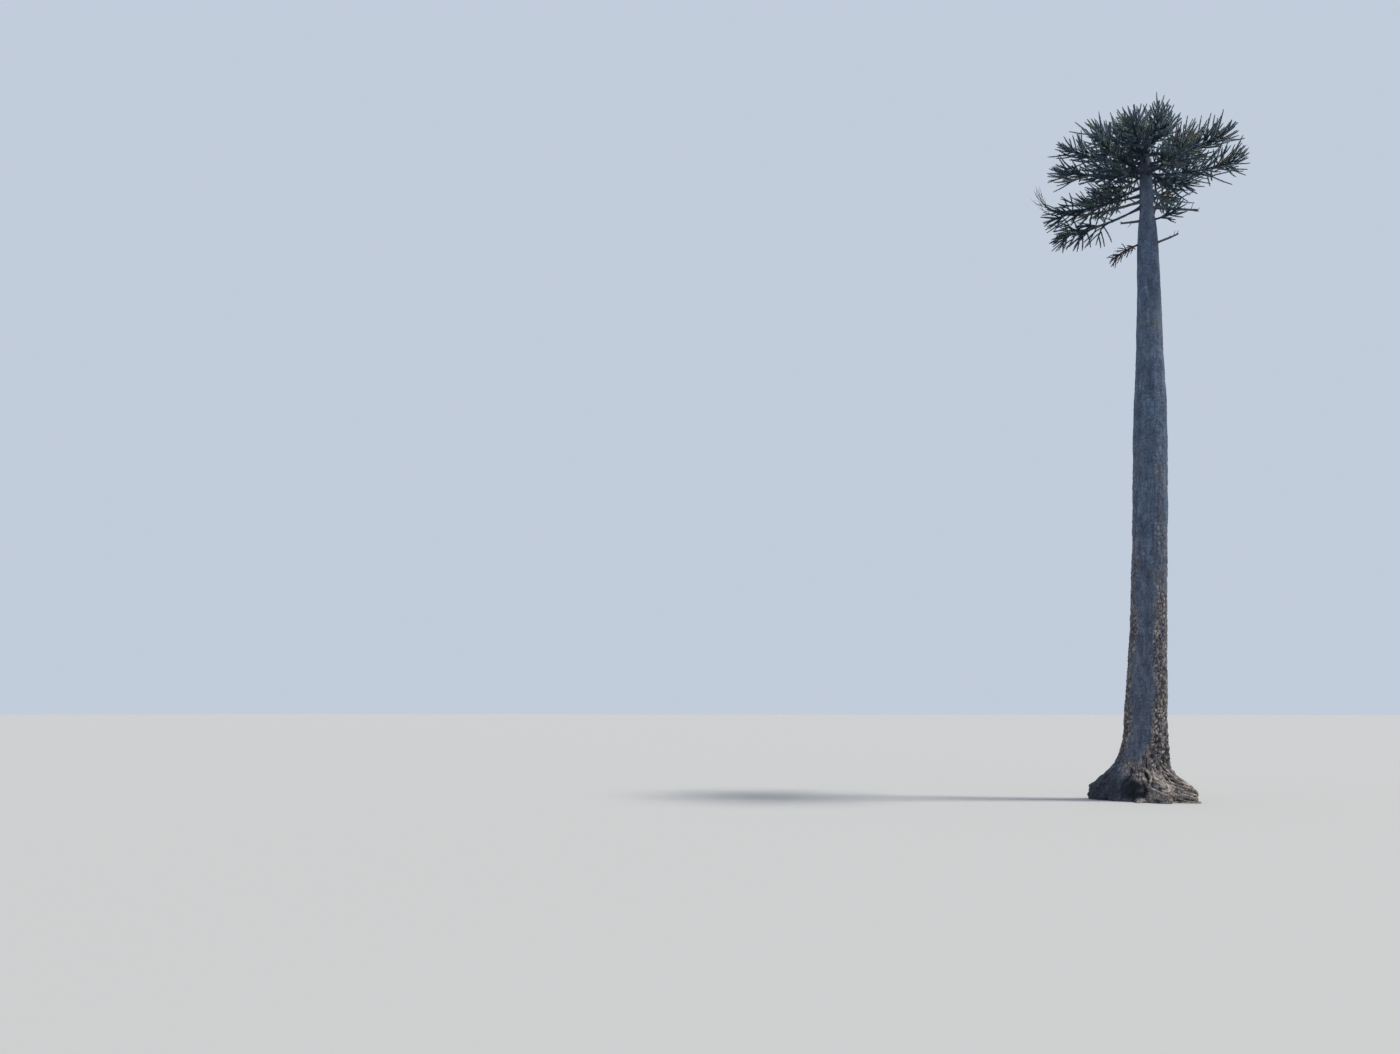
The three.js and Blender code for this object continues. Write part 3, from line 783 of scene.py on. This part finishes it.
def trunkMesh():
    mesh = newMesh()
    footRings = int(barkRule["footTop"] / barkRule["footStep"])
    upperRings = int((trunk["top"] - barkRule["footTop"]) / barkRule["step"])
    heights = list(np.linspace(0, barkRule["footTop"], footRings, endpoint=False))
    heights += list(np.linspace(barkRule["footTop"], trunk["top"], upperRings + 1))
    rings = []
    for z in heights:
        ring = []
        for j in range(barkRule["columns"]):
            bearing = 2 * math.pi * j / barkRule["columns"]
            radius = flaredRadius(z, bearing)
            relief, shadeAndGrooves, chipsAndSun = footRelief(z, bearing, *barkRelief(z, bearing, radius))
            relief *= smooth(trunk["top"] + 0.01, trunk["top"] - 0.4, z)
            ring.append(trunkMiddle(z) + levelWay(bearing) * (radius + relief))
            # painted shade of the crown on the upper trunk, kept with the grooves' shade
            shade = barkRule["topShade"] * smooth(*barkRule["shadeFrom"], z)
            mesh["shadeAndGrooves"].append(max(shadeAndGrooves, shade))
            mesh["chipsAndSun"].append(chipsAndSun)
            drift = 1.5 * noise.noise(ring[-1] * 0.9)
            mesh["height"].append(smooth(*barkRule["tanTo"], z + drift))
        rings.append(ring)
    addTube(mesh, rings)
    return mesh


meshPiece("trunkBark", trunkMesh(), bark, ["trunk"])

# Roots that snake down the flare
rootRule = {
    "count": 60,
    # from the hollow round to the back
    "bearings": (292, 500),
    "bearingJitter": 6,
    "top": (0.25, 1.05),
    "radius": (0.01, 0.038),
    "taper": (0.3, 1, 0.8, 0.4),
    "knots": 0.6,
    "sunk": 0.4,
    "wander": 12,
    "sweep": 58,
    "runOut": 0.12,
    "steps": 26,
    "sides": 8,
    "ringLength": 0.036,
    # how dark those in the hollow are, as painted shadow
    "hollowShade": 0.9,
    "seed": 41,
}


def rootPath(draw, i):
    bearing = mix(*rootRule["bearings"], (i + 0.5) / rootRule["count"])
    bearing += either(draw, rootRule["bearingJitter"])
    top = mix(*rootRule["top"], draw())
    size = mix(*rootRule["radius"], draw() ** 1.5)
    phase = 6.28 * draw()
    runOut = rootRule["runOut"] * draw()
    path = []
    for k in range(rootRule["steps"]):
        share = k / (rootRule["steps"] - 1)
        z = mix(top, 0.012, min(share / 0.86, 1) ** 0.7)
        swing = share * sin(phase + 6 * share) + 0.4 * sin(phase * 3 + 15 * share)
        swing *= rootRule["wander"]
        turned = radians(bearing + swing + rootRule["sweep"] * (share - 0.5))
        sunk = size * mix(0.8, rootRule["sunk"], smooth(0, 0.35, share))
        sunk += barkRule["hollow"][-1] * hollowAt(z, turned)
        away = flaredRadius(z, turned) - sunk + runOut * smooth(0.75, 1, share)
        path.append(trunkMiddle(z) + levelWay(turned) * away)
    return path, size


def knots(point, out, share, radius):
    folds = noise.noise(point * 11 + out * 1.5) + 0.6 * noise.noise(point * 27 + out * 3)
    return radius * rootRule["knots"] * folds


def rootMesh():
    mesh = newMesh()
    draw = seeded(rootRule["seed"])
    for i in range(rootRule["count"]):
        path, size = rootPath(draw, i)
        radii = [size * part for part in rootRule["taper"]]
        rings = tubeRings(path, radii, rootRule["sides"], rootRule["ringLength"], knots)
        for ring in rings:
            for point in ring:
                point.z = max(point.z, 0.002)
                away = point - trunkMiddle(point.z)
                # painted shadow in the hollow, with darker grooves at random
                shade = rootRule["hollowShade"] * hollowAt(point.z, math.atan2(away.y, away.x))
                mesh["shadeAndGrooves"].append(max(0.25 - 1.1 * noise.noise(point * 14), shade))
        addTube(mesh, rings)
    return mesh


meshPiece("surfaceRoots", rootMesh(), rootBark, ["trunk"])

# Bare wood of the living boughs
boughRule = {
    "sides": 14,
    "ringLength": 0.018,
    "relief": 0.12,
    # how much thicker it is, from the trunk outwards
    "collar": (1.5, 1.12, 1, 1, 1),
    "warmth": 0.3,
}


def boughScales(point, out, share, radius):
    rough = noise.noise(point * 34 + out * 1.4) + 0.6 * noise.noise(point * 80)
    return radius * boughRule["relief"] * rough


def boughMesh():
    mesh = newMesh()
    for limb in boughs:
        path = partOf(limb["path"], shareInTrunk(limb), limb["bare"], 8)
        collar = boughRule["collar"]
        radii = [mix(limb["radius"], limbRule["stemRadius"], i / 4) * collar[i] for i in range(5)]
        rings = tubeRings(path, radii, boughRule["sides"], boughRule["ringLength"], boughScales)
        addTube(mesh, rings)
        for ring in rings:
            for point in ring:
                mesh["shadeAndGrooves"].append(0.5 + 0.8 * noise.noise(point * 40))
                mesh["chipsAndSun"].append(boughRule["warmth"])
    return mesh


boughNodes = [f"bough_{limb['name']}" for limb in boughs]
meshPiece("boughBark", boughMesh(), boughBark, boughNodes)

# Dead wood: a bare bough with its twigs, and stubs with broken ends
deadRule = {
    "tipRadius": 0.012,
    "collar": 1.5,
    "sides": 12,
    "ringLength": 0.022,
    "tipSides": 8,
    "twigsFrom": 0.8,
    "twigs": 7,
    "twigLength": 0.5,
    "twigRadii": (0.008, 0.006, 0.003),
    "twigSides": 6,
    "twigRingLength": 0.03,
    "twigLift": 0.75,
    "twigSpread": Vector((0.8, 0.45, 0.3)),
    "twigLean": Vector((-0.1, 0, -0.1)),
    "forks": 3,
    "forkLength": 0.26,
    "forkRadii": (0.005, 0.004, 0.0025),
    "forkSpread": 0.7,
    "forkLift": 0.3,
    "stubTwigRadii": (0.009, 0.007, 0.004),
    "stubTwigLift": 0.4,
    # on each stub: share along it, bearing off it, rise, length
    "stubTwigs": {
        "stub_right_long": [
            (0.72, 60, 40, 0.16), (0.86, -50, 55, 0.2), (0.95, 35, 30, 0.18), (0.9, -25, -40, 0.14),
        ],
        "stub_right_low": [(0.7, 60, 50, 0.12), (0.85, -50, 40, 0.14), (0.95, 20, 60, 0.12)],
        "stub_left": [(0.6, 30, -60, 0.2), (0.9, -30, 35, 0.12)],
    },
}


def knobs(point, out, share, radius):
    return radius * (0.22 * noise.noise(point * 16 + out) + 0.12 * noise.noise(point * 60 + out * 2))


# a broken end: splinters of uneven length round a hollow
def splintered(rings, draw):
    outward = (rings[-1][0] - rings[-2][0]).normalized()
    centre = sum(rings[-1], Vector()) / len(rings[-1])
    rim = [point + outward * 0.05 * draw() ** 2 for point in rings[-1]]
    return rings + [rim, [point.lerp(centre, 0.5) - outward * 0.015 for point in rim]]


def deadTwig(mesh, point, heading, length, radii, lift):
    middle = point + heading * length / 2
    turned = (heading + up * lift).normalized()
    path = [point, middle, middle + turned * length / 2]
    addTube(mesh, tubeRings(path, radii, deadRule["twigSides"], deadRule["twigRingLength"], knobs))
    return path


def addStub(mesh, limb, rings):
    addTube(mesh, splintered(rings, seeded(limb["seed"])))
    for share, turn, rise, length in deadRule["stubTwigs"][limb["name"]]:
        point, tangent, side, _ = frameAt(limb["path"], share)
        away = swung(tangent, side, radians(turn))
        heading = (away + up * math.tan(radians(rise))).normalized()
        deadTwig(mesh, point, heading, length, deadRule["stubTwigRadii"], deadRule["stubTwigLift"])


# the bough runs out thin, with a fan of twigs and a few forks on each
def addDeadBough(mesh, limb, rings):
    rule = deadRule
    addTube(mesh, rings)
    stem, radii = partOf(limb["path"], limb["woodEnd"], 1, 8), (limb["tip"], rule["tipRadius"])
    addTube(mesh, tubeRings(stem, radii, rule["tipSides"], rule["twigRingLength"], knobs))
    draw, forks = seeded(limb["seed"]), seeded(limb["seed"] + 1)
    for i in range(rule["twigs"]):
        share = mix(rule["twigsFrom"], 1, (i + 1) / rule["twigs"])
        point, tangent, _, _ = frameAt(limb["path"], share)
        spread = Vector([either(draw, 1) * size for size in rule["twigSpread"]])
        heading = (tangent + spread + rule["twigLean"]).normalized()
        twig = deadTwig(mesh, point, heading, rule["twigLength"], rule["twigRadii"], rule["twigLift"])
        for k in range(rule["forks"]):
            at, along, side, over = frameAt(twig, 0.2 + 0.2 * k)
            away = swung(side, over, 6.28 * forks()) * rule["forkSpread"]
            length = rule["forkLength"] * (0.6 + 0.4 * forks())
            deadTwig(mesh, at, (along + away).normalized(), length, rule["forkRadii"], rule["forkLift"])


def deadMesh():
    mesh = newMesh()
    for limb in leafless:
        path = partOf(limb["path"], shareInTrunk(limb), limb.get("woodEnd", 1), 30)
        radii = [limb["radius"] * deadRule["collar"]]
        radii += [mix(limb["radius"], limb["tip"], i / 9) for i in range(1, 10)]
        rings = tubeRings(path, radii, deadRule["sides"], deadRule["ringLength"], knobs)
        grow = addStub if limb["kind"] == "stub" else addDeadBough
        grow(mesh, limb, rings)
    return mesh


deadNodes = ["bough_dead_left", "twigs_dead_left", *(stub[0] for stub in limbRule["stubs"])]
meshPiece("deadWood", deadMesh(), deadwood, deadNodes)
print("wood made")

# Leafy shoots: each spray is carried to finer twigs, and all are clad in scale leaves
shootRule = {
    # share along the spray, side, length as a share of the spray, angle off it
    "sideShoots": [
        (0.04, -1, 0.84, 58), (0.14, 1, 0.86, 54), (0.3, -1, 0.8, 48), (0.4, 1, 0.74, 46),
        (0.56, -1, 0.56, 42),
    ],
    "lift": 0.7,
    "forward": 0.42,
    "turnJitter": 9,
    "twistJitter": 40,
    "lengthJitter": 0.16,
    "spaceGap": -0.05,
    "coreRadius": 0.009,
    "sides": 4,
    "ringLength": 0.12,
    # the stem under the leaves: how much thinner than the frame's, at its base and at its tip
    "stemThinner": (0.92, 0.7),
    "stemSides": 7,
    "stemRingLength": 0.06,
    # a withered spray keeps so many of its shoots
    "witheredShoots": 3,
}

# single shoots that stand straight on the stem, all round it
singleRule = {
    "perMetre": 15,
    "least": 10,
    # the topmost whorls are leafy nearly to the trunk
    "innerLevels": ("crown_top", "upper", "high", "withered"),
    "innerShare": 0.34,
    # limbs that are nearly bare for longer, and for how much of their leafy part
    "openInner": {"hanging_left": 0.36, "low_left": 0.1},
    # limbs whose single shoots are shorter, and how much
    "shorter": {"hanging_left": 0.8, "withered_left": 0.8, "low_right": 0.6},
    "crowding": 0.86,
    # share along the shoot, side, length as a share of it, angle off it
    "forks": [(0.34, -1, 0.6, 44)],
    "forkTwist": 70,
    "length": (0.5, 0.84),
    "angle": (34, 62),
    "turnJitter": 0.4,
    "forward": 0.3,
    "lift": 1.2,
    "leastLift": 0.22,
    # how much of the lift is left on the underside of a limb
    "underLift": 0.3,
    # how far they stay under the frame's top
    "underTop": 0.16,
    "tries": 5,
    "shrink": 0.16,
    "spaceGap": -0.3,
}

leafRule = {
    "length": 0.04,
    "width": 0.64,
    "thickness": 0.0045,
    "perMetre": 180,
    "spread": 44,
    "tipSpread": 23,
    "spreadJitter": 7,
    "turnJitter": 0.1,
    "tipSize": 0.84,
    "stemTipSize": 0.9,
    "sizes": (0.86, 1.1),
    # how large they are on a limb of size 0
    "leastSize": 0.75,
    "incurve": 0.16,
    "widest": 0.34,
    "goldenTurn": 2.39996,
    # older leaves along the stem
    "stemLength": 0.046,
    "stemPerMetre": 340,
    "stemSpread": 50,
    # withered leaves lie close
    "witheredSpread": 22,
}


def sideShoot(spray, place, hand, part, angle, limb, draw):
    point, tangent, _, _ = frameAt(spray["path"], place)
    twist = radians(either(draw, shootRule["twistJitter"]))
    across = Quaternion(tangent, twist) @ (spray["across"] * hand)
    turned = radians(angle + either(draw, shootRule["turnJitter"]))
    heading = swung(tangent, across, turned).normalized()
    length = spray["length"] * part * (1 + either(draw, shootRule["lengthJitter"]))
    bend = tangent * shootRule["forward"] + up * limb["lift"] * shootRule["lift"]
    return grownPath(point, heading, length, limb, bend, shootRule["spaceGap"])


# inside the frame's own box, and a little under its top
def inReach(point):
    inBox = all(low < p < high for low, p, high in zip(cadBounds[0], point, cadBounds[1]))
    return inBox and point.z < cadBounds[1][2] - singleRule["underTop"]


def shootsOf(spray, limb, draw):
    if spray["share"] < singleRule["openInner"].get(limb["name"], 0):
        return [spray["path"]]
    sides = [sideShoot(spray, *side, limb, draw) for side in shootRule["sideShoots"]]
    return [spray["path"], *(path for path in sides if path and inReach(path[-1]))]


def singleShoots(limb, draw):
    rule = singleRule
    first = limb["bare"] * (rule["innerShare"] if limb["level"] in rule["innerLevels"] else 1)
    first = mix(first, 1, rule["openInner"].get(limb["name"], 0))
    count = max(int(limb["reach"] * (1 - first) * rule["perMetre"]), rule["least"])
    lift = up * (limb["lift"] * rule["lift"] + rule["leastLift"])
    shoots = []
    for i in range(count):
        share = ((i + draw()) / count) ** rule["crowding"]
        point, tangent, side, over = frameAt(limb["path"], mix(first, 1, share))
        turn = i * leafRule["goldenTurn"] + either(draw, rule["turnJitter"])
        angle = radians(mix(*rule["angle"], draw()))
        away = swung(side, over, turn)
        bend = lift * mix(1, rule["underLift"], smooth(0, -0.7, away.z)) + tangent * rule["forward"]
        heading = swung(tangent, away, angle)
        length = limb["size"] * mix(*rule["length"], draw()) * rule["shorter"].get(limb["name"], 1)
        twist = radians(either(draw, rule["forkTwist"]))
        for _ in range(rule["tries"]):
            path = grownPath(point, heading, length, limb, bend, rule["spaceGap"])
            if path and inReach(path[-1]):
                across = Quaternion(heading, twist) @ heading.cross(away).cross(heading).normalized()
                spray = {"path": path, "across": across, "length": length}
                forks = [sideShoot(spray, *fork, limb, draw) for fork in rule["forks"]]
                shoots.append([path, *(fork for fork in forks if fork and inReach(fork[-1]))])
                break
            length *= 1 - rule["shrink"]
    return shoots


def unit(rows):
    return rows / np.maximum(np.linalg.norm(rows, axis=1, keepdims=True), 1e-9)


# scale leaves in a spiral round a path: four corners for each leaf, at its base, both sides and its tip
def leavesAlong(path, perMetre, cores, leafLength, spreads, endSize, random):
    count = max(int(pathLength(path) * perMetre), 8)
    share = np.linspace(0, 1, count)
    places = np.array([p[:] for p in path])
    knots = np.linspace(0, 1, len(path))
    points = np.stack([np.interp(share, knots, places[:, k]) for k in range(3)], axis=1)
    tangent = unit(np.gradient(points, axis=0))
    side = unit(np.cross([0.04, 0.02, 1], tangent))
    over = np.cross(tangent, side)
    turn = random.uniform(0, 6.28) + np.arange(count) * leafRule["goldenTurn"]
    turn = turn + random.normal(0, leafRule["turnJitter"], count)
    radial = side * np.cos(turn)[:, None] + over * np.sin(turn)[:, None]
    angle = np.interp(share, [0, 0.75, 1], [spreads[0], spreads[0], spreads[1]])
    angle = np.radians(angle + random.normal(0, leafRule["spreadJitter"], count))[:, None]
    heading = tangent * np.cos(angle) + radial * np.sin(angle)
    inner = tangent * np.sin(angle) - radial * np.cos(angle)
    size = np.interp(share, [0, 0.12, 0.8, 1], [0.75, 1, 1, endSize])
    length = (leafLength * (size * random.uniform(*leafRule["sizes"], count)))[:, None]
    across = np.cross(tangent, radial) * length * leafRule["width"] / 2
    core = np.interp(share, [0, 1], cores)[:, None]
    base = points + radial * core * 0.8 - tangent * length * 0.6
    wide = base + heading * length * leafRule["widest"] + inner * leafRule["thickness"]
    tip = base + heading * length + inner * length * leafRule["incurve"]
    return np.stack([base, wide - across, wide + across, tip], axis=1)


def leafPiece(name, leaves, slots, nodes):
    corners = np.concatenate(leaves)
    corners[..., 2] = np.maximum(corners[..., 2], 0)
    count = len(corners)
    faces = np.arange(count)[:, None, None] * 4 + [[0, 1, 2], [1, 3, 2], [0, 2, 3], [0, 3, 1]]
    materials = np.repeat(np.concatenate([np.full(len(rows), s) for rows, s in zip(leaves, slots)]), 4)
    data = bpy.data.meshes.new(name)
    data.vertices.add(count * 4)
    data.vertices.foreach_set("co", corners.astype(np.float32).ravel())
    data.loops.add(count * 12)
    data.loops.foreach_set("vertex_index", faces.astype(np.int32).ravel())
    data.polygons.add(count * 4)
    data.polygons.foreach_set("loop_start", np.arange(0, count * 12, 3, dtype=np.int32))
    data.polygons.foreach_set("material_index", materials.astype(np.int32))
    data.update(calc_edges=True)
    return placePiece(name, data, leafMaterials, nodes)


def clothed(limb, wood, leaves, slots):
    random = np.random.default_rng(limb["seed"])
    draw = seeded(limb["seed"] + 5)
    kind = tintsOf.get(limb["level"], "crown")
    shares = tintShares[kind]
    size = mix(leafRule["leastSize"], 1, limb["size"])

    # its own stem
    stem = partOf(limb["path"], limb["bare"], 1, 12)
    thinner = shootRule["stemThinner"]
    cores = [limbRule["stemRadius"] * thinner[0], limbRule["stemTipRadius"] * thinner[1]]
    addTube(wood, tubeRings(stem, cores, shootRule["stemSides"], shootRule["stemRingLength"]))
    length, spreads = leafRule["stemLength"] * size, (leafRule["stemSpread"], leafRule["spread"])
    perMetre = leafRule["stemPerMetre"]
    leaves.append(leavesAlong(stem, perMetre, cores, length, spreads, leafRule["stemTipSize"], random))
    slots.append(random.choice(len(tints), p=shares))

    # its sprays and single shoots
    tufts = [shootsOf(spray, limb, draw) for spray in spraysOf(limb)]
    tufts += singleShoots(limb, draw)
    cores = (shootRule["coreRadius"], shootRule["coreRadius"] * 0.5)
    length, spreads = leafRule["length"] * size, (leafRule["spread"], leafRule["tipSpread"])
    perMetre = leafRule["perMetre"] / size
    if kind == "withered":
        tufts = [tuft[:shootRule["witheredShoots"]] for tuft in tufts]
        spreads = (leafRule["witheredSpread"], leafRule["tipSpread"])
    tipSize = leafRule["tipSize"]
    for tuft in tufts:
        tint = random.choice(len(tints), p=shares)
        for path in tuft:
            leaves.append(leavesAlong(path, perMetre, cores, length, spreads, tipSize, random))
            slots.append(tint)
            addTube(wood, tubeRings(path, cores, shootRule["sides"], shootRule["ringLength"]))


wood = newMesh()
for level in ("crown_top", "upper", "high", "middle", "wide", "low", "withered"):
    members = [limb for limb in leafy if limb["level"] == level]
    leaves, slots = [], []
    for limb in members:
        clothed(limb, wood, leaves, slots)
    nodes = [f"foliage_{limb['name']}" for limb in members]
    leafPiece(f"leaves_{level}", leaves, slots, nodes)
meshPiece("shootWood", wood, twigBark, [f"foliage_{limb['name']}" for limb in leafy])
print("foliage made")

# Stage: a plain pale floor and soft light from the right
stage = {
    "floorSize": 1600,
    "floorZ": -0.003,
    "floorColor": (0.4, 0.4, 0.395),
    "sky": (0.72, 0.81, 0.95),
    "skyStrength": 0.75,
    "sunBearing": 14,
    "sunRise": 58,
    "sunStrength": 3.7,
    "sunAngle": 10,
    "sunColor": (1, 0.95, 0.87),
}


def buildStage():
    half = stage["floorSize"] / 2
    data = bpy.data.meshes.new("floor")
    corners = [(x * half, y * half, stage["floorZ"]) for x, y in ((-1, -1), (1, -1), (1, 1), (-1, 1))]
    data.from_pydata(corners, [], [(0, 1, 2, 3)])
    data.materials.append(newMaterial("floor", stage["floorColor"], 0.9, 0.2)[0])
    addObject("floor", data)
    world = bpy.data.worlds.new("sky")
    world.use_nodes = True
    background = world.node_tree.nodes["Background"]
    background.inputs["Color"].default_value = (*stage["sky"], 1)
    background.inputs["Strength"].default_value = stage["skyStrength"]
    bpy.context.scene.world = world
    light = bpy.data.lights.new("sun", "SUN")
    light.energy = stage["sunStrength"]
    light.angle = radians(stage["sunAngle"])
    light.color = stage["sunColor"]
    sun = addObject("sun", light)
    bearing, rise = radians(stage["sunBearing"]), radians(stage["sunRise"])
    level = cos(rise)
    towards = Vector((cos(bearing) * level, sin(bearing) * level, sin(rise)))
    sun.rotation_euler = towards.to_track_quat("Z", "Y").to_euler()


buildStage()

# Camera: where the photograph was taken, with its framing
view = {"place": (0, -27.03, 2.0), "turnLeft": 22.22, "tiltUp": 9.96, "lens": 27.08, "farEnd": 2000}


def buildCamera():
    data = bpy.data.cameras.new("camera")
    data.lens = view["lens"]
    data.sensor_width = 36
    data.clip_end = view["farEnd"]
    camera = addObject("camera", data)
    camera.location = view["place"]
    camera.rotation_euler = (radians(90 + view["tiltUp"]), 0, radians(view["turnLeft"]))
    bpy.context.scene.camera = camera


buildCamera()
bpy.context.scene.view_settings.view_transform = "Standard"
print("stage and camera set")
